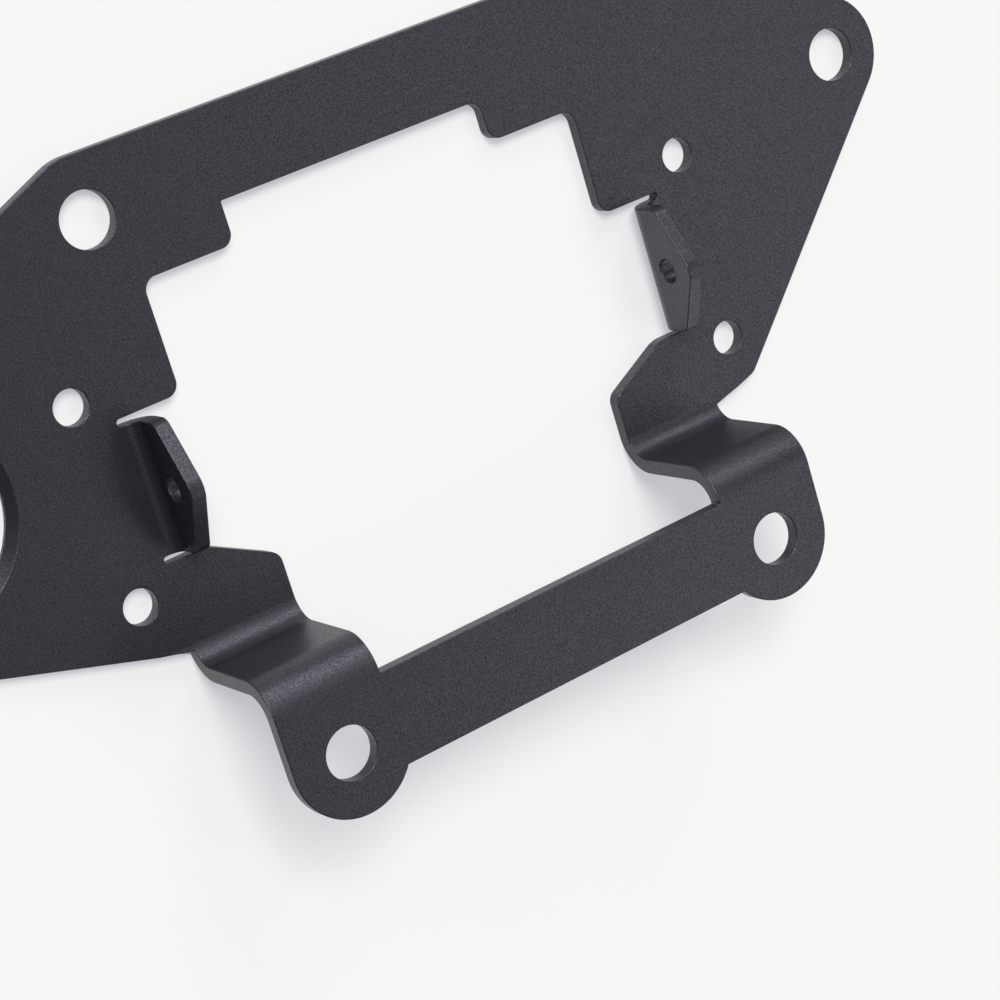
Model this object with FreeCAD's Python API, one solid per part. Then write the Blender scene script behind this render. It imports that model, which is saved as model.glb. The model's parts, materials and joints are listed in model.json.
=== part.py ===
"""Folded sheet bracket that carries a display above a motorcycle's handlebar.

One sheet: a flat main plate with a stepped window, two drilled ears folded up beside
the window, and two double-folded arms that carry a cross bar ahead of the plate.
Frame, in millimetres: X to the right, Y up the plate, Z out of the front face.
The origin lies on the back face, on the window's middle line and on the row of the
two lower fixing holes.
"""

import FreeCAD
import Part
import math
import os

# Sheet and folds
SHEET = 2.16
EAR_BEND_RADIUS = 1.8
ARM_BEND_RADIUS = 3.2

# Fixing holes, four in a rectangle about the window
FIXING_HOLE = 5.0
FIXING_ACROSS = 100.0
FIXING_UP = 28.3

# Corner holes, one near the top left and one in the right tip
CORNER_HOLE = 7.8
LEFT_HOLE_X = -39.5
LEFT_HOLE_Y = 50.2
RIGHT_HOLE_X = 81.1
RIGHT_HOLE_Y = 33.4

# Round opening in the left wing, bevelled round its front edge
WING_OPENING = 29.8
WING_BEVEL = 1.35
WING_RIM = 5.45

# Outer edges of the main plate
CORNER_MARGIN = 8.6
RIGHT_SIDE_MARGIN = 8.3
SHOULDER_ANGLE = 23.3
SIDE_ANGLE = 45.0
LOWER_EDGE_ANGLE = 17.0
LOWER_EDGE_AT_ARM = -9.0
LOWER_CORNER_RADIUS = 2.7

# Window, half widths from the middle line and heights above the origin
WINDOW_TOP = 46.2
NOTCH_HALF = 20.9
STEP_HEIGHT = 40.2
WINDOW_HALF = 35.0
WINDOW_CORNER_RADIUS = 1.9

# Relief slots above and below each ear
SLOT_WIDTH = 1.0
SLOT_END = 44.8

# Ears
EAR_FACE = 40.05
EAR_LENGTH = 18.6
EAR_HEIGHT = 12.2
EAR_SLOPE = 29.4
EAR_TIP_RADIUS = 3.0
EAR_CORNER_RADIUS = 1.9
EAR_HOLE = 3.7
EAR_HOLE_HEIGHT = 6.9

# Pads between the ears and the arms
PAD_SLOPE = 27.6
PAD_TIP_HEIGHT = -1.25
PAD_TIP_RADIUS = 2.0
PAD_SHOULDER_RADIUS = 5.0

# Arms, cross bar and its two lobes
ARM_INSIDE = 28.7
WEB_FACE = -10.7
BAR_FACE = 21.35
BAR_DEPTH = 13.35
LOBE_HOLE = 7.5
LOBE_HOLE_X = 36.1
LOBE_HOLE_Y = -24.35
LOBE_MARGIN = 8.85

# Places worked out from the sizes above
ear_outer_bend = EAR_BEND_RADIUS + SHEET
arm_outer_bend = ARM_BEND_RADIUS + SHEET
ear_middle = FIXING_UP / 2
ear_bottom = ear_middle - EAR_LENGTH / 2
ear_top = ear_middle + EAR_LENGTH / 2
slot_floor = ear_bottom - SLOT_WIDTH
slot_roof = ear_top + SLOT_WIDTH
ear_fold_start = EAR_FACE + ear_outer_bend
arm_fold_start = WEB_FACE + ARM_BEND_RADIUS
arm_fold_end = WEB_FACE - arm_outer_bend
arm_outside = LOBE_HOLE_X + LOBE_MARGIN
plate_top = LEFT_HOLE_Y + CORNER_MARGIN


def vector(x, y, z=0.0):
    return FreeCAD.Vector(x, y, z)


def line_at(point, degrees):
    """A straight line through a point, as the point and a unit direction."""
    angle = math.radians(degrees)
    return point, vector(math.cos(angle), math.sin(angle))


def line_round(centre, radius, degrees):
    """The line at this angle that touches a circle on the left of its direction."""
    point, along = line_at(centre, degrees)
    return point + vector(-along.y, along.x) * radius, along


def crossing(first, second):
    """The point where two lines meet."""
    (start, along), (other, across) = first, second
    gap = other - start
    turn = along.x * across.y - along.y * across.x
    reach = (gap.x * across.y - gap.y * across.x) / turn
    return start + along * reach


def inset_crossing(first, second, inset):
    """The point that lies at the same distance to the right of two directed lines."""
    moved = []
    for point, along in (first, second):
        moved.append((point + vector(along.y, -along.x) * inset, along))
    return crossing(*moved)


def rounded_wire(corners):
    """A closed wire through corners (point, radius), each rounded by a tangent arc."""
    spans = []
    count = len(corners)
    for index, (point, radius) in enumerate(corners):
        back = (corners[index - 1][0] - point).normalize()
        ahead = (corners[(index + 1) % count][0] - point).normalize()
        if radius == 0:
            spans.append((point, point, point))
            continue
        half = back.getAngle(ahead) / 2
        reach = radius / math.tan(half)
        middle = (back + ahead).normalize() * (radius / math.sin(half) - radius)
        spans.append((point + back * reach, point + middle, point + ahead * reach))
    edges = []
    for index, (start, middle, end) in enumerate(spans):
        if start.distanceToPoint(end) > 1e-6:
            edges.append(Part.Arc(start, middle, end).toShape())
        following = spans[(index + 1) % count][0]
        if end.distanceToPoint(following) > 1e-6:
            edges.append(Part.makeLine(end, following))
    return Part.Wire(edges)


def sheet_from(corners, direction):
    """A flat piece of sheet whose face has these corners."""
    return Part.Face(rounded_wire(corners)).extrude(direction)


def drill(x, y, diameter, base=0.0):
    """A cutter for a round hole straight through the sheet above a height."""
    start = vector(x, y, base - SHEET)
    return Part.makeCylinder(diameter / 2, 3 * SHEET, start)


def bevel_cutter(x, y, diameter, bevel):
    """A cone that bevels a hole's front edge out to a diameter."""
    start = vector(x, y, SHEET - bevel)
    radius = diameter / 2
    return Part.makeCone(radius - bevel, radius + bevel, 2 * bevel, start)


def quarter_bend(inner, centre, axis, from_direction, length):
    """A quarter turn of sheet round an axis, from one direction to the next."""
    near = centre + from_direction * inner
    far = centre + from_direction * (inner + SHEET)
    turned = Part.makeLine(near, far).revolve(centre, axis, 90)
    return turned.extrude(axis * length)


def mirrored(shape):
    """The same piece on the other side of the middle line."""
    return shape.mirror(vector(0, 0), vector(1, 0))


def window_side(side, notch_radius):
    """Corners of one side of the window, from its top down to the arm's fold."""
    slot_round = SLOT_WIDTH / 2
    pad_tip = vector(ARM_INSIDE, PAD_TIP_HEIGHT)
    pad_edge = line_at(pad_tip, PAD_SLOPE)
    pad_shoulder = crossing(pad_edge, line_at(vector(0, slot_floor), 0))
    corners = [
        (vector(NOTCH_HALF, WINDOW_TOP), notch_radius),
        (vector(NOTCH_HALF, STEP_HEIGHT), WINDOW_CORNER_RADIUS),
        (vector(WINDOW_HALF, STEP_HEIGHT), WINDOW_CORNER_RADIUS),
        (vector(WINDOW_HALF, slot_roof), WINDOW_CORNER_RADIUS),
        (vector(SLOT_END, slot_roof), slot_round),
        (vector(SLOT_END, ear_top), slot_round),
        (vector(ear_fold_start, ear_top), 0),
        (vector(ear_fold_start, ear_bottom), 0),
        (vector(SLOT_END, ear_bottom), slot_round),
        (vector(SLOT_END, slot_floor), slot_round),
        (pad_shoulder, PAD_SHOULDER_RADIUS),
        (pad_tip, PAD_TIP_RADIUS),
        (vector(ARM_INSIDE, arm_fold_start), 0),
    ]
    return [(vector(side * point.x, point.y), radius) for point, radius in corners]


def lower_edge(side):
    """The plate's sloping lower edge on one side, drawn towards the right."""
    point = vector(side * arm_outside, LOWER_EDGE_AT_ARM)
    return line_at(point, side * LOWER_EDGE_ANGLE)


def main_plate():
    """The flat plate with its window, slots and holes, up to the fold lines."""
    fold_line = line_at(vector(0, arm_fold_start), 0)
    top_line = line_at(vector(0, plate_top), 0)
    left_hole = vector(LEFT_HOLE_X, LEFT_HOLE_Y)
    right_hole = vector(RIGHT_HOLE_X, RIGHT_HOLE_Y)
    left_shoulder = line_round(left_hole, CORNER_MARGIN, SHOULDER_ANGLE)
    right_shoulder = line_round(right_hole, CORNER_MARGIN, -SHOULDER_ANGLE)
    right_side = line_round(right_hole, RIGHT_SIDE_MARGIN, SIDE_ANGLE - 180)
    wing_round = WING_OPENING / 2 + WING_RIM
    wing_point, wing_along = lower_edge(-1)
    wing_centre = inset_crossing(left_shoulder, (wing_point, -wing_along), wing_round)
    corners = [
        (crossing(fold_line, lower_edge(-1)), 0),
        (crossing(lower_edge(-1), left_shoulder), wing_round),
        (crossing(left_shoulder, top_line), CORNER_MARGIN),
        (crossing(top_line, right_shoulder), CORNER_MARGIN),
        (crossing(right_shoulder, right_side), CORNER_MARGIN),
        (crossing(right_side, lower_edge(1)), LOWER_CORNER_RADIUS),
        (crossing(lower_edge(1), fold_line), 0),
    ]
    corners += reversed(window_side(1, WINDOW_CORNER_RADIUS))
    corners += window_side(-1, 0)
    plate = sheet_from(corners, vector(0, 0, SHEET))
    cutters = [
        drill(LEFT_HOLE_X, LEFT_HOLE_Y, CORNER_HOLE),
        drill(RIGHT_HOLE_X, RIGHT_HOLE_Y, CORNER_HOLE),
        drill(wing_centre.x, wing_centre.y, WING_OPENING - 2 * WING_BEVEL),
        bevel_cutter(wing_centre.x, wing_centre.y, WING_OPENING, WING_BEVEL),
    ]
    for side in (-1, 1):
        for height in (0, FIXING_UP):
            cutters.append(drill(side * FIXING_ACROSS / 2, height, FIXING_HOLE))
    return plate.cut(cutters)


def right_ear():
    """The ear on the right of the window, folded square to the plate."""
    rise = math.tan(math.radians(EAR_SLOPE))
    tip_loss = EAR_TIP_RADIUS * (1 / math.cos(math.radians(EAR_SLOPE)) - 1)
    tip = EAR_HEIGHT + tip_loss
    shoulder = tip - rise * EAR_LENGTH / 2
    profile = [
        (vector(EAR_FACE, ear_bottom, ear_outer_bend), 0),
        (vector(EAR_FACE, ear_bottom, shoulder), EAR_CORNER_RADIUS),
        (vector(EAR_FACE, ear_middle, tip), EAR_TIP_RADIUS),
        (vector(EAR_FACE, ear_top, shoulder), EAR_CORNER_RADIUS),
        (vector(EAR_FACE, ear_top, ear_outer_bend), 0),
    ]
    ear = sheet_from(profile, vector(SHEET, 0, 0))
    hole_start = vector(EAR_FACE - SHEET, ear_middle, EAR_HOLE_HEIGHT)
    hole = Part.makeCylinder(EAR_HOLE / 2, 3 * SHEET, hole_start, vector(1, 0, 0))
    bend_centre = vector(ear_fold_start, ear_bottom, ear_outer_bend)
    bend = quarter_bend(EAR_BEND_RADIUS, bend_centre, vector(0, 1, 0), vector(0, 0, -1),
                        EAR_LENGTH)
    return ear.cut(hole).fuse(bend)


def right_arm():
    """The double fold on the right: up from the plate, then flat again in the bar."""
    root = crossing(lower_edge(1), line_at(vector(0, arm_fold_start), 0))
    lower_centre = vector(ARM_INSIDE, arm_fold_start, arm_outer_bend)
    lower_bend = quarter_bend(ARM_BEND_RADIUS, lower_centre, vector(1, 0, 0),
                              vector(0, -1, 0), root.x - ARM_INSIDE)
    below_edge = Part.makePolygon([
        root,
        vector(arm_outside, LOWER_EDGE_AT_ARM),
        vector(arm_outside, WEB_FACE - SHEET),
        vector(root.x, WEB_FACE - SHEET),
        root,
    ])
    trim = Part.Face(below_edge).extrude(vector(0, 0, arm_outer_bend))
    web_height = BAR_FACE - 2 * arm_outer_bend
    web = Part.makeBox(arm_outside - ARM_INSIDE, SHEET, web_height,
                       vector(ARM_INSIDE, WEB_FACE - SHEET, arm_outer_bend))
    upper_centre = vector(ARM_INSIDE, arm_fold_end, BAR_FACE - arm_outer_bend)
    upper_bend = quarter_bend(ARM_BEND_RADIUS, upper_centre, vector(1, 0, 0),
                              vector(0, 1, 0), arm_outside - ARM_INSIDE)
    return lower_bend.cut(trim).fuse([web, upper_bend])


def cross_bar():
    """The flat bar with a drilled lobe under each arm."""
    base = BAR_FACE - SHEET
    half_span = LOBE_HOLE_X
    bar = Part.makeBox(2 * half_span, BAR_DEPTH, SHEET,
                       vector(-half_span, arm_fold_end - BAR_DEPTH, base))
    pieces = []
    holes = []
    upward = vector(0, 0, 1)
    for side in (-1, 1):
        centre = vector(side * LOBE_HOLE_X, LOBE_HOLE_Y, base)
        lobe = Part.makeCylinder(LOBE_MARGIN, SHEET, centre, upward, 180)
        pieces.append(lobe.rotate(centre, upward, 180))
        edge = min(side * ARM_INSIDE, side * arm_outside)
        pieces.append(Part.makeBox(arm_outside - ARM_INSIDE, arm_fold_end - LOBE_HOLE_Y, SHEET,
                                   vector(edge, LOBE_HOLE_Y, base)))
        holes.append(drill(centre.x, centre.y, LOBE_HOLE, base))
    return bar.fuse(pieces).cut(holes)


def bracket():
    """The whole folded sheet as one solid."""
    ear = right_ear()
    arm = right_arm()
    whole = main_plate().fuse([ear, mirrored(ear), arm, mirrored(arm), cross_bar()])
    return whole.removeSplitter()


os.makedirs("parts", exist_ok=True)
solid = bracket().Solids[0]
solid.exportStep("parts/mount_bracket.step")
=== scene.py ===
"""Visual model of a folded, powder-coated sheet bracket that lies on a white table.

The sheet is cut flat with softened edges, a node tree folds it along its fold lines,
and a procedural powder coat goes over it. Lengths are in metres, angles in radians.
"""

import json
import math

import bmesh
import bpy
from bpy.props import FloatProperty, FloatVectorProperty, IntProperty, PointerProperty
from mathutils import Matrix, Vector
from mathutils.geometry import delaunay_2d_cdt


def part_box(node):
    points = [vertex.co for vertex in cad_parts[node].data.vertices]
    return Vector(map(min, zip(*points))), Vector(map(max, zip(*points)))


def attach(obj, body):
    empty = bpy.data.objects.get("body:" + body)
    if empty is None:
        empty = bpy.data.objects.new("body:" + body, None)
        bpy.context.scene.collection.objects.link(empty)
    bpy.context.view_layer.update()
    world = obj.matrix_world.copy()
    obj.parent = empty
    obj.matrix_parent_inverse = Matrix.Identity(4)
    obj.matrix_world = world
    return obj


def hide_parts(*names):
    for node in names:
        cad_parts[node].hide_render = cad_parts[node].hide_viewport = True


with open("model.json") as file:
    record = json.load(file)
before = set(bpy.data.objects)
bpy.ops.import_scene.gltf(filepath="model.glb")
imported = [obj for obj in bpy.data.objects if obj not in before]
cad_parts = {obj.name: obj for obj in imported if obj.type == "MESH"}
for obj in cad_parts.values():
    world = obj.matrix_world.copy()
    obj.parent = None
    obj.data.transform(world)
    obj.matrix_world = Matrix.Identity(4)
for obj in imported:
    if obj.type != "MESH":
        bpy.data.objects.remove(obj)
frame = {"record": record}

bl_info = {
    "name": "Folded display bracket",
    "version": (1, 0, 0),
    "blender": (4, 5, 0),
    "location": "View3D > Sidebar > Bracket",
    "description": "Cuts, folds and coats a sheet bracket, and lays it on a table",
    "category": "Object",
}

NODE = "mount_bracket"
BODY = "root"
MM = 0.001
MOUNTS = {mount["name"]: mount for mount in frame["record"]["mounts"]}
CAD_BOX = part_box(NODE)
RIGHT_ANGLE = math.pi / 2
FLAT_NORMAL = "flat_normal"
COAT_NORMAL = "coat_normal"
# An arc is cut so finely that its chords stay this near to it, or on a tiny arc this
# share of its radius
ARC_TOLERANCE = 0.004 * MM
ARC_SHARE = 0.2
# A square corner gets this rounding, as a cut edge under powder has
CORNER_SOFTNESS = 0.2 * MM
# Strips that round each corner of a cut edge
EDGE_STEPS = 3
# Two points of an outline that lie nearer than this are one
SAME_POINT = 0.001 * MM
# A corner this near to a cutting plane is taken as lying on it
ON_PLANE = 0.0001 * MM
# The same for points and sides when the flat faces are divided into triangles
ON_SIDE = 1e-9


def length(name, millimetres, description):
    """A size that the sidebar shows in the scene's units."""
    return FloatProperty(name=name, description=description, default=millimetres * MM,
                         unit="LENGTH", precision=5)


def angle(name, degrees, description):
    """An angle that the sidebar shows in degrees."""
    return FloatProperty(name=name, description=description, unit="ROTATION",
                         default=math.radians(degrees))


def colour(name, value, description):
    """A colour swatch."""
    return FloatVectorProperty(name=name, description=description, default=value,
                               subtype="COLOR", size=3, min=0.0, max=1.0)


class SheetSizes(bpy.types.PropertyGroup):
    """Sizes of the sheet, its outline and its folds."""

    sheet: length("Sheet", 2.16, "Thickness with the coat on both sides")
    edge_round: length("Edge rounding", 0.16, "Radius of the coat over a cut edge")
    arm_bend: length("Arm bend", 3.2, "Inside radius of the arms' folds")
    ear_bend: length("Ear bend", 1.8, "Inside radius of the ears' folds")
    fold_steps: IntProperty(name="Fold steps", default=14, min=4,
                            description="Strips that make up each quarter turn")
    corner_margin: length("Corner margin", 8.6, "From a corner hole's centre outwards")
    side_margin: length("Side margin", 8.3, "From the right corner hole to the side")
    shoulder_angle: angle("Shoulder angle", 23.3, "Slope of the edge beside the top")
    side_angle: angle("Side angle", 45.0, "Slope of the right side")
    lower_angle: angle("Lower edge angle", 17.0, "Slope of the lower edge")
    lower_edge: length("Lower edge", -9.0, "Height where it meets the arm's outside")
    lower_corner: length("Lower corner", 2.7, "Rounding at the lower right corner")
    wing_rim: length("Wing rim", 5.45, "Rim left round the wing's opening")
    wing_bevel: length("Wing bevel", 1.35, "Bevel round the wing's opening, in front")
    window_top: length("Window top", 46.2, "Height of the window's notch")
    notch_half: length("Notch half width", 20.9, "Half of the notch's width")
    step_height: length("Step height", 40.2, "Height of the steps beside the notch")
    window_half: length("Window half width", 35.0, "Half of the window's width")
    window_corner: length("Window corner", 1.9, "Rounding of the window's corners")
    slot_width: length("Slot width", 1.0, "Width of the relief slots beside each ear")
    slot_end: length("Slot end", 44.8, "Where the slots end, from the middle line")
    ear_face: length("Ear face", 40.05, "Window side of an ear, from the middle line")
    ear_length: length("Ear length", 18.6, "Along the fold")
    ear_height: length("Ear height", 12.2, "Of the ear's tip above the back face")
    ear_slope: angle("Ear slope", 29.4, "Of the ear's two upper edges")
    ear_tip: length("Ear tip", 3.0, "Rounding of the ear's tip")
    ear_corner: length("Ear corner", 1.9, "Rounding of the ear's shoulders")
    pad_slope: angle("Pad slope", 27.6, "Of the edge between ear and arm")
    pad_tip_height: length("Pad tip height", -1.25, "Of the pad's inner tip")
    pad_tip: length("Pad tip", 2.0, "Rounding of the pad's inner tip")
    pad_shoulder: length("Pad shoulder", 5.0, "Rounding where the pad meets the slot")
    arm_inside: length("Arm inside", 28.7, "Inner edge of an arm, from the middle line")
    web_face: length("Web face", -10.7, "Front of the upright webs")
    bar_depth: length("Bar depth", 13.35, "Of the cross bar, from its top edge down")
    lobe_margin: length("Lobe margin", 8.85, "From a lobe hole's centre to the edge")


class CoatLook(bpy.types.PropertyGroup):
    """Colour, gloss and grain of the powder coat."""

    base: colour("Coat", (0.0132, 0.0128, 0.0156), "Colour of the powder coat")
    gloss: colour("Gloss", (0.86, 0.84, 1.0), "Colour of the light that it mirrors")
    gloss_level: FloatProperty(name="Gloss level", default=0.68, min=0.0, max=1.0,
                               description="Strength of the mirrored light")
    roughness: FloatProperty(name="Roughness", default=0.38, min=0.0, max=1.0,
                             description="Mean roughness of the coat")
    roughness_spread: FloatProperty(name="Roughness spread", default=0.4, min=0.0,
                                    description="How much smoother the tops are",
                                    max=1.0)
    grain_height: length("Grain height", 0.04, "Height of the coat's grain")
    grain_scale: FloatProperty(name="Grain scale", default=4200.0, min=1.0,
                               description="Grains of the coat in a metre")
    # Strength of the grain's painted light on the tops and painted shade in the pits
    grain_light_contrast: FloatProperty(name="Grain contrast", default=0.9, min=0.0,
                                  description="How far the tops outshine the pits")


class StageLook(bpy.types.PropertyGroup):
    """Table, lamps and camera."""

    table: colour("Table", (0.905, 0.905, 0.905), "Colour of the table")
    table_glow: colour("Table glow", (0.452, 0.445, 0.502),
                       "What the camera sees of the table in deep shadow")
    table_shade: colour("Table shade", (0.400, 0.407, 0.350),
                        "What full light adds to that for the camera")
    camera_place: FloatVectorProperty(name="Camera place", subtype="TRANSLATION",
                                      description="Where it stands", precision=6,
                                      default=(-0.169574, 0.099983, 0.337526))
    camera_turn: FloatVectorProperty(name="Camera turn", subtype="EULER",
                                     description="How it is turned", precision=6,
                                     default=(-0.112031, -0.539917, -0.335631))
    lens: FloatProperty(name="Lens", description="Focal length in millimetres",
                        default=100.126, min=10.0, precision=3)


# The outline, in the plane of the flat sheet
def left_of(direction):
    """The direction a quarter turn to the left."""
    return Vector((-direction.y, direction.x))


def turn_between(first, second):
    """Angle from one direction to another, positive to the left."""
    return math.atan2(first.x * second.y - first.y * second.x, first.dot(second))


def along(radians):
    """Unit direction at an angle from the X axis."""
    return Vector((math.cos(radians), math.sin(radians)))


def crossing(first, second):
    """The point where two lines meet, each a point and a direction."""
    (start, direction), (other, across) = first, second
    gap = other - start
    turn = direction.x * across.y - direction.y * across.x
    return start + direction * ((gap.x * across.y - gap.y * across.x) / turn)


def arc_samples(centre, radius, start, sweep):
    """Points round an arc, each with the direction that points out of the sheet."""
    step = 2 * math.acos(1 - min(ARC_TOLERANCE / radius, ARC_SHARE))
    count = max(2, math.ceil(abs(sweep) / step))
    samples = []
    for index in range(count + 1):
        outward = along(start + sweep * index / count)
        samples.append((centre + outward * radius, outward * math.copysign(1, sweep)))
    return samples


def corner_samples(before, corner, after, radius):
    """A corner rounded by an arc that touches both of its sides."""
    inward = (corner - before).normalized()
    onward = (after - corner).normalized()
    turn = turn_between(inward, onward)
    side = left_of(inward) * math.copysign(1, turn)
    start = corner - inward * radius * math.tan(abs(turn) / 2)
    centre = start + side * radius
    spoke = start - centre
    return arc_samples(centre, radius, math.atan2(spoke.y, spoke.x), turn)


def loop_samples(corners):
    """A closed path through corners (point, radius), with the sheet on its left."""
    samples = []
    for index, (corner, radius) in enumerate(corners):
        before = corners[index - 1][0]
        after = corners[(index + 1) % len(corners)][0]
        samples += corner_samples(before, corner, after, radius or CORNER_SOFTNESS)
    return samples


def hole_samples(centre, radius):
    """A round hole, traced with the sheet on its left."""
    return arc_samples(centre, radius, 0.0, -2 * math.pi)[:-1]


class Blank:
    """The flat sheet's places that follow from its sizes and its holes."""

    def __init__(self, sizes):
        self.sizes = sizes
        bar = MOUNTS["bar_holes"]
        ear = MOUNTS["right_ear_hole"]
        self.lobe_x = bar["dims"]["spacing_x_mm"] * MM / 2
        self.lobe_hole = bar["dims"]["hole_r_mm"] * MM
        self.arm_outside = self.lobe_x + sizes.lobe_margin
        self.arm_outer = sizes.arm_bend + sizes.sheet
        self.ear_outer = sizes.ear_bend + sizes.sheet
        self.arm_turn = RIGHT_ANGLE * (sizes.arm_bend + sizes.sheet / 2)
        self.ear_turn = RIGHT_ANGLE * (sizes.ear_bend + sizes.sheet / 2)
        self.arm_line = sizes.web_face + sizes.arm_bend
        self.ear_line = sizes.ear_face + self.ear_outer
        self.web = CAD_BOX[1].z - 2 * self.arm_outer
        self.ear_middle = ear["pos_m"][1]
        self.ear_hole_x = self.on_ear(ear["pos_m"][2])
        self.ear_hole = ear["dims"]["r_mm"] * MM
        self.bar_top = self.arm_line - 2 * self.arm_turn - self.web
        self.lobe_y = self.on_bar(bar["pos_m"][1])

    def on_ear(self, height):
        """Where a height on the folded ear lies in the flat sheet."""
        return self.ear_line - self.ear_turn - (height - self.ear_outer)

    def on_bar(self, place):
        """Where a place up or down the folded bar lies in the flat sheet."""
        return self.bar_top + (place - (self.sizes.web_face - self.arm_outer))

    def lower_edge(self, side):
        """The sloping lower edge on one side, as a point and a direction."""
        return Vector((side * self.arm_outside, self.sizes.lower_edge)), along(
            side * self.sizes.lower_angle)

    def outer_loop(self):
        """The outside of the flat sheet, from the right arm round to the left arm."""
        sizes = self.sizes
        left = Vector(MOUNTS["left_corner_hole"]["pos_m"][:2])
        right = Vector(MOUNTS["right_corner_hole"]["pos_m"][:2])
        opening = MOUNTS["wing_opening"]["dims"]["r_mm"] * MM + sizes.wing_bevel
        slope = along(sizes.shoulder_angle)
        fall = along(-sizes.shoulder_angle)
        side = along(sizes.side_angle)
        top = Vector((0.0, left.y + sizes.corner_margin)), Vector((1.0, 0.0))
        left_shoulder = left + left_of(slope) * sizes.corner_margin, slope
        right_shoulder = right + left_of(fall) * sizes.corner_margin, fall
        right_side = right - left_of(side) * sizes.side_margin, side
        corners = [
            (crossing(right_side, self.lower_edge(1)), sizes.lower_corner),
            (crossing(right_shoulder, right_side), sizes.corner_margin),
            (crossing(top, right_shoulder), sizes.corner_margin),
            (crossing(left_shoulder, top), sizes.corner_margin),
            (crossing(self.lower_edge(-1), left_shoulder), opening + sizes.wing_rim),
        ]
        arm_right = Vector((self.arm_outside, sizes.lower_edge))
        arm_left = Vector((-self.arm_outside, sizes.lower_edge))
        right_lobe = self.lobe(1)
        left_lobe = self.lobe(-1)
        samples = []
        samples += corner_samples(right_lobe[-1][0], arm_right, corners[0][0],
                                  CORNER_SOFTNESS)
        points = [arm_right] + [point for point, _radius in corners] + [arm_left]
        for index, (corner, radius) in enumerate(corners):
            samples += corner_samples(points[index], corner, points[index + 2], radius)
        samples += corner_samples(corners[-1][0], arm_left, left_lobe[0][0],
                                  CORNER_SOFTNESS)
        return samples + left_lobe + right_lobe

    def lobe(self, side):
        """The round end under one arm, from the left to the right."""
        sizes = self.sizes
        centre = Vector((side * self.lobe_x, self.lobe_y))
        bar_bottom = self.bar_top - sizes.bar_depth
        reach = math.asin((self.lobe_y - bar_bottom) / sizes.lobe_margin)
        sweep = math.pi - reach
        start = math.pi if side < 0 else math.pi + reach
        return arc_samples(centre, sizes.lobe_margin, start, sweep)

    def inner_loop(self):
        """The window, the slots, the ears and the inner edges of the arms."""
        sizes = self.sizes
        half = sizes.ear_length / 2
        bottom = self.ear_middle - half
        top = self.ear_middle + half
        floor = bottom - sizes.slot_width
        roof = top + sizes.slot_width
        slot = sizes.slot_width / 2
        tip_loss = sizes.ear_tip * (1 / math.cos(sizes.ear_slope) - 1)
        tip_height = sizes.ear_height + tip_loss
        tip = self.on_ear(tip_height)
        shoulder = self.on_ear(tip_height - math.tan(sizes.ear_slope) * half)
        pad_tip = Vector((sizes.arm_inside, sizes.pad_tip_height))
        pad_edge = pad_tip, along(sizes.pad_slope)
        level = Vector((0.0, floor)), Vector((1.0, 0.0))
        right = [
            (Vector((sizes.arm_inside, self.bar_top)), 0),
            (pad_tip, sizes.pad_tip),
            (crossing(pad_edge, level), sizes.pad_shoulder),
            (Vector((sizes.slot_end, floor)), slot),
            (Vector((sizes.slot_end, bottom)), slot),
            (Vector((shoulder, bottom)), sizes.ear_corner),
            (Vector((tip, self.ear_middle)), sizes.ear_tip),
            (Vector((shoulder, top)), sizes.ear_corner),
            (Vector((sizes.slot_end, top)), slot),
            (Vector((sizes.slot_end, roof)), slot),
            (Vector((sizes.window_half, roof)), sizes.window_corner),
            (Vector((sizes.window_half, sizes.step_height)), sizes.window_corner),
            (Vector((sizes.notch_half, sizes.step_height)), sizes.window_corner),
            (Vector((sizes.notch_half, sizes.window_top)), sizes.window_corner),
        ]
        left = [(Vector((-point.x, point.y)), radius) for point, radius in right]
        left[-1] = (left[-1][0], 0)
        return loop_samples(left + right[::-1])

    def holes(self):
        """All round holes, the ears' and the bar's unfolded, and the wing's last."""
        found = []
        for name in ("lower_fixing_holes", "upper_fixing_holes"):
            mount = MOUNTS[name]
            reach = mount["dims"]["spacing_x_mm"] * MM / 2
            for side in (-1, 1):
                centre = Vector((side * reach, mount["pos_m"][1]))
                found.append(hole_samples(centre, mount["dims"]["hole_r_mm"] * MM))
        for side in (-1, 1):
            ear = Vector((side * self.ear_hole_x, self.ear_middle))
            found.append(hole_samples(ear, self.ear_hole))
            lobe = Vector((side * self.lobe_x, self.lobe_y))
            found.append(hole_samples(lobe, self.lobe_hole))
        for name in ("left_corner_hole", "right_corner_hole", "wing_opening"):
            mount = MOUNTS[name]
            centre = Vector(mount["pos_m"][:2])
            found.append(hole_samples(centre, mount["dims"]["r_mm"] * MM))
        return found


def edge_profile(thickness, radius, bevel):
    """Inset, height and tilt of the points up a cut edge with rounded corners."""
    shift = radius * (math.sqrt(2) - 1)
    arcs = [(-2, 0, radius, radius), (0, 2, radius, thickness - radius)]
    if bevel:
        arcs[1:] = [(0, 1, radius, thickness - bevel - shift),
                    (1, 2, bevel + shift, thickness - radius)]
    profile = []
    for first, last, inset, height in arcs:
        for index in range(EDGE_STEPS + 1):
            tilt = RIGHT_ANGLE / 2 * (first + (last - first) * index / EDGE_STEPS)
            profile.append((inset - radius * math.cos(tilt),
                            height + radius * math.sin(tilt), tilt))
    return profile


def without_doubles(samples):
    """Drops a sample that lies where the one before it does."""
    kept = []
    for index, (point, outward) in enumerate(samples):
        if (point - samples[index - 1][0]).length > SAME_POINT:
            kept.append((point, outward))
    return kept


def sides_of(triangle):
    """The three directed sides of a triangle."""
    first, second, third = triangle
    return (first, second), (second, third), (third, first)


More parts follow.
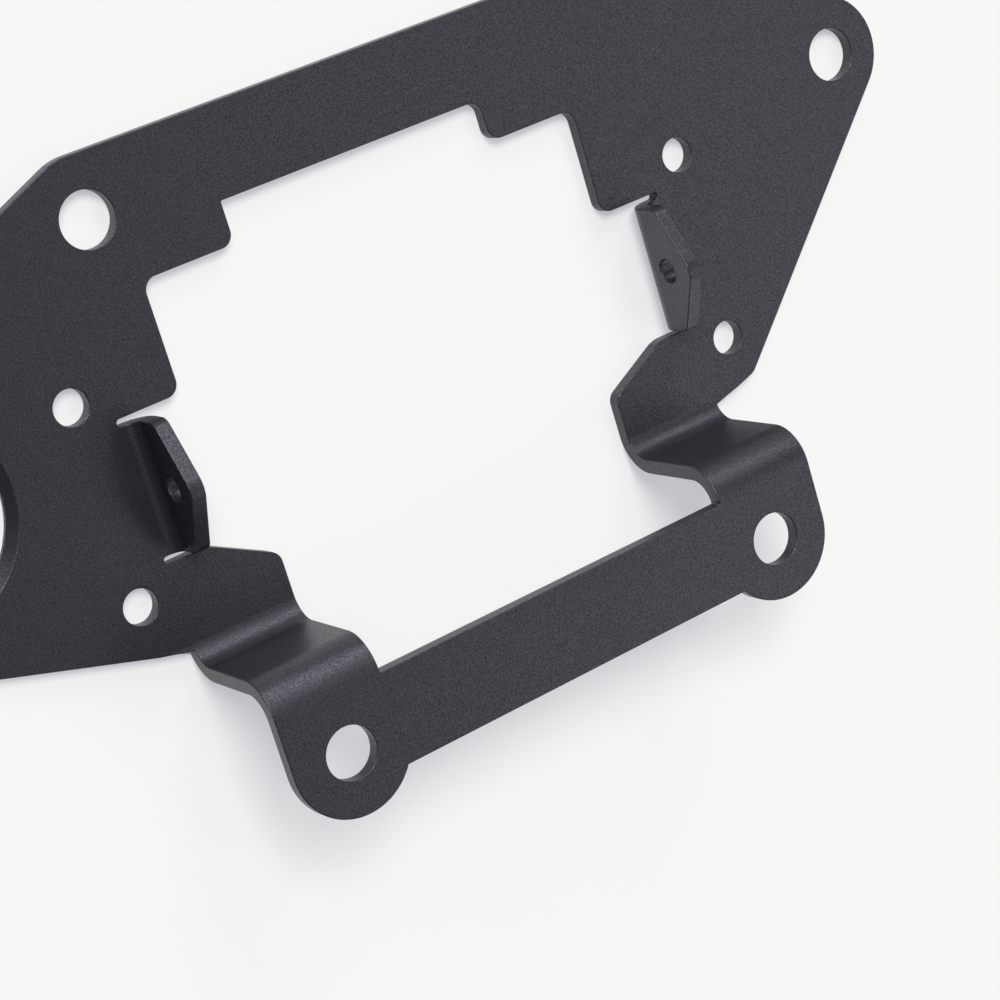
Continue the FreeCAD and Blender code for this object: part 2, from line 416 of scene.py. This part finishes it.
def triangles_between(loops):
    """Triangles over the sheet, which lies to the left of each loop of points."""
    points = [point for loop in loops for point in loop]
    border = set()
    first = 0
    for loop in loops:
        border.update((first + index, first + (index + 1) % len(loop))
                      for index in range(len(loop)))
        first += len(loop)
    found = delaunay_2d_cdt(points, list(border), [], 0, ON_SIDE)
    origins = [sources[0] for sources in found[3]]
    triangles = [tuple(origins[index] for index in face) for face in found[2]]
    owner = {side: index for index, triangle in enumerate(triangles)
             for side in sides_of(triangle)}
    waiting = [owner[side] for side in sorted(border)]
    kept = set(waiting)
    while waiting:
        for side in sides_of(triangles[waiting.pop()]):
            other = owner.get(side[::-1])
            if side not in border and other not in kept:
                kept.add(other)
                waiting.append(other)
    return [triangles[index] for index in sorted(kept)]


def flat_mesh(blank):
    """The flat sheet with its rounded edges, cut across where it will be folded."""
    sizes = blank.sizes
    work = bmesh.new()
    normals = work.verts.layers.float_vector.new(FLAT_NORMAL)
    back, front, fronts = [], [], []
    loops = [blank.outer_loop(), blank.inner_loop()] + blank.holes()
    bevels = [0.0] * (len(loops) - 1) + [sizes.wing_bevel]
    for loop, bevel in zip(loops, bevels):
        loop = without_doubles(loop)
        rings = []
        for inset, height, tilt in edge_profile(sizes.sheet, sizes.edge_round, bevel):
            ring = []
            for point, outward in loop:
                place = point - outward * inset
                vertex = work.verts.new((place.x, place.y, height))
                level = outward * math.cos(tilt)
                vertex[normals] = Vector((level.x, level.y, math.sin(tilt)))
                ring.append(vertex)
            rings.append(ring)
        for lower, upper in zip(rings, rings[1:]):
            for index in range(len(lower)):
                after = (index + 1) % len(lower)
                work.faces.new((lower[index], lower[after], upper[after], upper[index]))
        back += rings[0]
        front += rings[-1]
        fronts.append(rings[-1])
    for triangle in triangles_between([[vertex.co.xy for vertex in ring]
                                       for ring in fronts]):
        work.faces.new([front[index] for index in triangle])
        work.faces.new([back[index] for index in reversed(triangle)])
    cut_for_folds(work, blank)
    for face in work.faces:
        face.smooth = True
    mesh = bpy.data.meshes.new("folded_bracket")
    work.to_mesh(mesh)
    work.free()
    return mesh


def cut_across(work, axis, place, wanted):
    """Cuts the faces that pass a test along one plane across X or Y."""
    faces = [face for face in work.faces if wanted(face.calc_center_bounds())
             and min(vertex.co[axis] for vertex in face.verts) < place
             and max(vertex.co[axis] for vertex in face.verts) > place]
    parts = set(faces)
    for face in faces:
        parts.update(face.edges)
        parts.update(face.verts)
    point = Vector((0.0, 0.0, 0.0))
    normal = Vector((0.0, 0.0, 0.0))
    point[axis] = place
    normal[axis] = 1.0
    bmesh.ops.bisect_plane(work, geom=list(parts), plane_co=point, plane_no=normal,
                           dist=ON_PLANE)


def cut_for_folds(work, blank):
    """Cuts the sheet into strips across each quarter turn."""
    steps = blank.sizes.fold_steps
    half = (blank.sizes.ear_length + blank.sizes.slot_width) / 2

    def anywhere(centre):
        return True

    def at_ears(centre):
        return abs(centre.y - blank.ear_middle) < half

    for index in range(steps + 1):
        for line in (blank.arm_line, blank.bar_top + blank.arm_turn):
            cut_across(work, 1, line - blank.arm_turn * index / steps, anywhere)
    for edge in (-half, half):
        cut_across(work, 1, blank.ear_middle + edge, anywhere)
    for side in (-1, 1):
        for index in range(steps + 1):
            place = side * (blank.ear_line - blank.ear_turn * index / steps)
            cut_across(work, 0, place, at_ears)


# The node trees that fold the sheet
class Fields:
    """Adds nodes to a tree and links or fills their sockets, one call each."""

    def __init__(self, tree):
        self.tree = tree

    def link(self, value, socket):
        if isinstance(value, bpy.types.NodeSocket):
            self.tree.links.new(value, socket)
        else:
            socket.default_value = value

    def maths(self, operation, *values, clamp=False):
        node = self.tree.nodes.new("ShaderNodeMath")
        node.operation = operation
        node.use_clamp = clamp
        for value, socket in zip(values, node.inputs):
            self.link(value, socket)
        return node.outputs[0]

    def node(self, kind, settings=None, **inputs):
        node = self.tree.nodes.new(kind)
        for name, value in (settings or {}).items():
            setattr(node, name, value)
        for name, value in inputs.items():
            self.link(value, node.inputs[name.replace("_", " ")])
        return node


def new_tree(name, inputs, outputs):
    """A node tree with named sockets, and its input and output nodes."""
    tree = bpy.data.node_groups.new(name, "GeometryNodeTree")
    for label, kind in inputs:
        tree.interface.new_socket(label, in_out="INPUT", socket_type=kind)
    for label, kind in outputs:
        tree.interface.new_socket(label, in_out="OUTPUT", socket_type=kind)
    start = tree.nodes.new("NodeGroupInput")
    end = tree.nodes.new("NodeGroupOutput")
    return tree, start.outputs, end.inputs


def quarter_fold_tree():
    """A quarter turn: what lies beyond a line is bent round and carried upright."""
    number = "NodeSocketFloat"
    tree, given, result = new_tree(
        "Quarter fold",
        [("Beyond", number), ("Height", number), ("Inside radius", number),
         ("Sheet", number), ("Turn length", number)],
        [("Reach", number), ("Lift", number), ("Turned", number)])
    use = Fields(tree)
    part = use.maths("DIVIDE", given["Beyond"], given["Turn length"], clamp=True)
    turned = use.maths("MULTIPLY", part, RIGHT_ANGLE)
    centre = use.maths("ADD", given["Inside radius"], given["Sheet"])
    radius = use.maths("SUBTRACT", centre, given["Height"])
    before = use.maths("MINIMUM", given["Beyond"], 0.0)
    swing = use.maths("MULTIPLY", radius, use.maths("SINE", turned))
    after = use.maths("MAXIMUM", use.maths("SUBTRACT", given["Beyond"],
                                           given["Turn length"]), 0.0)
    drop = use.maths("MULTIPLY", radius, use.maths("COSINE", turned))
    risen = use.maths("SUBTRACT", centre, drop)
    use.link(use.maths("ADD", before, swing), result["Reach"])
    use.link(use.maths("ADD", risen, after), result["Lift"])
    use.link(turned, result["Turned"])
    return tree


def fold_tree():
    """Folds the flat sheet: both turns of the arms, then the ears."""
    number = "NodeSocketFloat"
    tree, given, result = new_tree(
        "Fold the sheet",
        [("Geometry", "NodeSocketGeometry"), ("Sheet", number), ("Arm line", number),
         ("Arm bend", number), ("Arm turn", number), ("Web", number),
         ("Ear line", number), ("Ear bend", number), ("Ear turn", number),
         ("Ear middle", number), ("Ear band", number), ("Coat", "NodeSocketMaterial")],
        [("Geometry", "NodeSocketGeometry")])
    use = Fields(tree)
    quarter = quarter_fold_tree()

    def fold(beyond, height, bend, turn):
        node = tree.nodes.new("GeometryNodeGroup")
        node.node_tree = quarter
        values = (beyond, height, given[bend], given["Sheet"], given[turn])
        for value, socket in zip(values, node.inputs):
            use.link(value, socket)
        return node.outputs

    def place():
        position = use.node("GeometryNodeInputPosition")
        return use.node("ShaderNodeSeparateXYZ", Vector=position.outputs[0]).outputs

    def moved(geometry, selection, x, y, z):
        vector = use.node("ShaderNodeCombineXYZ", X=x, Y=y, Z=z).outputs[0]
        node = use.node("GeometryNodeSetPosition", Geometry=geometry, Position=vector)
        use.link(selection, node.inputs["Selection"])
        return node.outputs[0]

    # The upper turn goes first, upside down, while the web still lies flat
    flat = place()
    beyond = use.maths("SUBTRACT", given["Arm line"], flat["Y"])
    upper_line = use.maths("ADD", given["Arm turn"], given["Web"])
    upper = fold(use.maths("SUBTRACT", beyond, upper_line),
                 use.maths("SUBTRACT", given["Sheet"], flat["Z"]), "Arm bend",
                 "Arm turn")
    lower = fold(use.maths("ADD", upper_line, upper["Reach"]),
                 use.maths("SUBTRACT", given["Sheet"], upper["Lift"]), "Arm bend",
                 "Arm turn")
    side = use.maths("SIGN", flat["X"])
    off_middle = use.maths("ABSOLUTE", flat["X"])
    ear = fold(use.maths("SUBTRACT", given["Ear line"], off_middle), flat["Z"],
               "Ear bend", "Ear turn")
    from_middle = use.maths("ABSOLUTE", use.maths("SUBTRACT", flat["Y"],
                                                  given["Ear middle"]))
    in_band = use.maths("LESS_THAN", from_middle, given["Ear band"])
    # The flat sheet's normals turn with it
    named = use.node("GeometryNodeInputNamedAttribute", {"data_type": "FLOAT_VECTOR"},
                     Name=FLAT_NORMAL)
    arm_angle = use.maths("SUBTRACT", upper["Turned"], lower["Turned"])
    arm_normal = use.node("ShaderNodeVectorRotate", {"rotation_type": "X_AXIS"},
                          Vector=named.outputs[0], Angle=arm_angle)
    ear_angle = use.maths("MULTIPLY", use.maths("MULTIPLY", side, ear["Turned"]),
                          in_band)
    normal = use.node("ShaderNodeVectorRotate", {"rotation_type": "Y_AXIS"},
                      Vector=arm_normal.outputs[0], Angle=ear_angle)
    stored = use.node("GeometryNodeStoreNamedAttribute",
                      {"data_type": "FLOAT_VECTOR", "domain": "POINT"},
                      Geometry=given["Geometry"], Name=COAT_NORMAL,
                      Value=normal.outputs[0])
    ears = moved(stored.outputs[0], in_band,
                 use.maths("MULTIPLY", side, use.maths("SUBTRACT", given["Ear line"],
                                                       ear["Reach"])),
                 flat["Y"], ear["Lift"])
    at_arms = use.maths("LESS_THAN", flat["Y"], given["Arm line"])
    arms = moved(ears, at_arms, flat["X"],
                 use.maths("SUBTRACT", given["Arm line"], lower["Reach"]),
                 lower["Lift"])
    real = use.node("GeometryNodeRealizeInstances", Geometry=arms)
    coated = use.node("GeometryNodeSetMaterial", Geometry=real.outputs[0],
                      Material=given["Coat"])
    use.link(coated.outputs[0], result["Geometry"])
    return tree


def folded(piece, blank, coat):
    """Runs the fold tree on a piece and keeps the result as its plain mesh."""
    sizes = blank.sizes
    tree = fold_tree()
    modifier = piece.modifiers.new("Fold", "NODES")
    modifier.node_group = tree
    values = {
        "Sheet": sizes.sheet, "Arm line": blank.arm_line, "Arm bend": sizes.arm_bend,
        "Arm turn": blank.arm_turn, "Web": blank.web, "Ear line": blank.ear_line,
        "Ear bend": sizes.ear_bend, "Ear turn": blank.ear_turn,
        "Ear middle": blank.ear_middle,
        "Ear band": (sizes.ear_length + sizes.slot_width) / 2, "Coat": coat,
    }
    for item in tree.interface.items_tree:
        if item.in_out == "INPUT" and item.name in values:
            modifier[item.identifier] = values[item.name]
    evaluated = piece.evaluated_get(bpy.context.evaluated_depsgraph_get())
    mesh = bpy.data.meshes.new_from_object(evaluated)
    piece.modifiers.remove(modifier)
    piece.data = mesh
    bpy.data.node_groups.remove(tree)
    normals = [tuple(item.vector) for item in mesh.attributes[COAT_NORMAL].data]
    mesh.normals_split_custom_set_from_vertices(normals)
    for name in (COAT_NORMAL, FLAT_NORMAL):
        mesh.attributes.remove(mesh.attributes[name])


# Finishes
# Turns the grain off every face's own direction, so that it is as strong on all of them
GRAIN_TURN = (0.61, 0.43, 0.27)


def powder_coat(look):
    """Matt black powder coat with a fine even grain, with painted light on the grains'
    tops and painted shade in the pits between them.
    """
    material = bpy.data.materials.new("black_powder_coat")
    material.use_nodes = True
    tree = material.node_tree
    shader = tree.nodes["Principled BSDF"]
    use = Fields(tree)
    shader.inputs["Specular IOR Level"].default_value = look.gloss_level
    place = use.node("ShaderNodeTexCoord").outputs["Object"]
    turned = use.node("ShaderNodeMapping", Vector=place, Rotation=GRAIN_TURN)
    grain = use.node("ShaderNodeTexNoise", Vector=turned.outputs[0],
                     Scale=look.grain_scale, Detail=2.0, Roughness=0.5).outputs["Fac"]
    bump = use.node("ShaderNodeBump", Height=grain, Strength=1.0,
                    Distance=look.grain_height)
    use.link(bump.outputs[0], shader.inputs["Normal"])
    # The tops of the grains are smoother than the pits between them
    spread = look.roughness_spread
    rough = use.maths("MULTIPLY_ADD", grain, -spread, look.roughness + spread / 2,
                      clamp=True)
    use.link(rough, shader.inputs["Roughness"])
    # Painted light and shade of the grain: the coat's colour and gloss are raised on
    # the tops of the grains as painted sheen, and lowered in the pits between them as
    # painted shade
    doubled = use.maths("ADD", grain, grain)
    grain_light_and_shade = use.maths("POWER", doubled, look.grain_light_contrast)
    for tone, socket in ((look.base, "Base Color"), (look.gloss, "Specular Tint")):
        shaded = use.node("ShaderNodeVectorMath", {"operation": "SCALE"},
                          Vector=tone, Scale=grain_light_and_shade)
        use.link(shaded.outputs[0], shader.inputs[socket])
    return material


def table_white(look):
    """Plain white table, whose shadows the camera sees a little paler than they are."""
    material = bpy.data.materials.new("table_white")
    material.use_nodes = True
    tree = material.node_tree
    tree.nodes.clear()
    use = Fields(tree)
    plain = use.node("ShaderNodeBsdfDiffuse", Color=(*look.table, 1.0))
    shade = use.node("ShaderNodeBsdfDiffuse", Color=(*look.table_shade, 1.0))
    glow = use.node("ShaderNodeEmission", Color=(*look.table_glow, 1.0), Strength=1.0)
    seen = use.node("ShaderNodeAddShader")
    tree.links.new(glow.outputs[0], seen.inputs[0])
    tree.links.new(shade.outputs[0], seen.inputs[1])
    path = use.node("ShaderNodeLightPath").outputs
    mirrored = use.maths("ADD", path["Is Glossy Ray"], path["Is Transmission Ray"])
    direct = use.maths("ADD", path["Is Camera Ray"], mirrored, clamp=True)
    either = use.node("ShaderNodeMixShader", Fac=direct)
    tree.links.new(plain.outputs[0], either.inputs[1])
    tree.links.new(seen.outputs[0], either.inputs[2])
    output = use.node("ShaderNodeOutputMaterial")
    tree.links.new(either.outputs[0], output.inputs["Surface"])
    return material


class BRACKET_OT_build_sheet(bpy.types.Operator):
    """Cut the sheet flat, fold it and coat it"""

    bl_idname = "bracket.build_sheet"
    bl_label = "Build the folded sheet"
    bl_options = {"REGISTER", "UNDO"}

    def execute(self, context):
        blank = Blank(context.scene.bracket_sheet)
        piece = bpy.data.objects.new("folded_bracket", flat_mesh(blank))
        context.scene.collection.objects.link(piece)
        folded(piece, blank, powder_coat(context.scene.bracket_coat))
        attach(piece, BODY)
        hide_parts(NODE)
        return {"FINISHED"}


# Lines of the table's squares, in metres: a small square lies under the bracket, and
# wide ones reach out to the far edges
TABLE_LINES = (-20.0, -1.0, 1.0, 20.0)
# The table's face lies this much below the sheet's back, so that the two never flicker
TABLE_GAP = 0.02 * MM
# How far from the middle the lamps are drawn, which their light doesn't depend on
LAMP_DISTANCE = 1.5
# The camera's sensor in millimetres, and the nearest that it sees in metres
SENSOR_WIDTH = 36.0
NEAREST_SEEN = 0.01
# Soft lamps round the table: height and bearing in degrees, the bearing turning left
# from +X, how broad each looks, and the light that it throws on a surface that faces it
LAMPS = (
    ("back_panel", 58, 108, 26, 0.880),
    ("left_back_panel", 58, 144, 26, 0.140),
    ("right_back_panel", 42, 57, 20, 0.055),
    ("low_right_back_panel", 26, 67, 26, 0.240),
    ("low_left_back_panel", 10, 120, 26, 0.161),
    ("low_back_panel", 10, 80, 26, 0.025),
    ("right_panel", 42, 334, 34, 0.112),
    ("high_right_panel", 58, 0, 20, 0.049),
    ("front_panel", 42, 308, 26, 0.063),
    ("low_front_panel", 10, 300, 26, 0.094),
)


def add_soft_lamp(name, height, bearing, breadth, share):
    """A broad lamp far away, so that it lights the whole table evenly."""
    light = bpy.data.lights.new(name, "SUN")
    light.angle = math.radians(breadth)
    light.energy = share * math.pi
    lamp = bpy.data.objects.new(name, light)
    level = math.cos(math.radians(height))
    place = Vector((level * math.cos(math.radians(bearing)),
                    level * math.sin(math.radians(bearing)),
                    math.sin(math.radians(height))))
    lamp.location = place * LAMP_DISTANCE
    lamp.rotation_euler = place.to_track_quat("Z", "Y").to_euler()
    bpy.context.scene.collection.objects.link(lamp)


class BRACKET_OT_build_stage(bpy.types.Operator):
    """Lay the table, and place the lamps and the camera"""

    bl_idname = "bracket.build_stage"
    bl_label = "Build the stage"
    bl_options = {"REGISTER", "UNDO"}

    def execute(self, context):
        look = context.scene.bracket_stage
        self.add_table(context, look)
        self.add_lamps(context)
        self.add_camera(context, look)
        return {"FINISHED"}

    def add_table(self, context, look):
        count = len(TABLE_LINES)
        corners = [(x, y, 0.0) for y in TABLE_LINES for x in TABLE_LINES]
        firsts = [row * count + column for row in range(count - 1)
                  for column in range(count - 1)]
        squares = [(first, first + 1, first + count + 1, first + count)
                   for first in firsts]
        mesh = bpy.data.meshes.new("table")
        mesh.from_pydata(corners, [], squares)
        table = bpy.data.objects.new("table", mesh)
        table.location.z = -TABLE_GAP
        table.data.materials.append(table_white(look))
        context.scene.collection.objects.link(table)

    def add_lamps(self, context):
        world = bpy.data.worlds.new("studio")
        world.use_nodes = True
        context.scene.world = world
        background = world.node_tree.nodes["Background"]
        background.inputs["Color"].default_value = (1.0, 1.0, 1.0, 1.0)
        background.inputs["Strength"].default_value = 0.0
        for lamp in LAMPS:
            add_soft_lamp(*lamp)

    def add_camera(self, context, look):
        data = bpy.data.cameras.new("camera")
        data.lens = look.lens
        data.sensor_width = SENSOR_WIDTH
        data.clip_start = NEAREST_SEEN
        camera = bpy.data.objects.new("camera", data)
        camera.location = look.camera_place
        camera.rotation_euler = look.camera_turn
        context.scene.collection.objects.link(camera)
        context.scene.camera = camera
        context.scene.view_settings.view_transform = "Standard"


class BRACKET_PT_sidebar(bpy.types.Panel):
    """Lists what the bracket is built from."""

    bl_idname = "BRACKET_PT_sidebar"
    bl_label = "Folded bracket"
    bl_space_type = "VIEW_3D"
    bl_region_type = "UI"
    bl_category = "Bracket"

    def draw(self, context):
        scene = context.scene
        for operator in OPERATORS:
            self.layout.operator(operator.bl_idname)
        for group in (scene.bracket_sheet, scene.bracket_coat, scene.bracket_stage):
            box = self.layout.box()
            for name in group.__annotations__:
                box.prop(group, name)


OPERATORS = (BRACKET_OT_build_sheet, BRACKET_OT_build_stage)
GROUPS = (SheetSizes, CoatLook, StageLook)


def register():
    for item in GROUPS + OPERATORS + (BRACKET_PT_sidebar,):
        bpy.utils.register_class(item)
    bpy.types.Scene.bracket_sheet = PointerProperty(type=SheetSizes)
    bpy.types.Scene.bracket_coat = PointerProperty(type=CoatLook)
    bpy.types.Scene.bracket_stage = PointerProperty(type=StageLook)


def unregister():
    for name in ("bracket_stage", "bracket_coat", "bracket_sheet"):
        delattr(bpy.types.Scene, name)
    for item in reversed(GROUPS + OPERATORS + (BRACKET_PT_sidebar,)):
        bpy.utils.unregister_class(item)


def main():
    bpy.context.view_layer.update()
    register()
    bpy.ops.bracket.build_sheet()
    bpy.ops.bracket.build_stage()


if __name__ == "__main__":
    main()
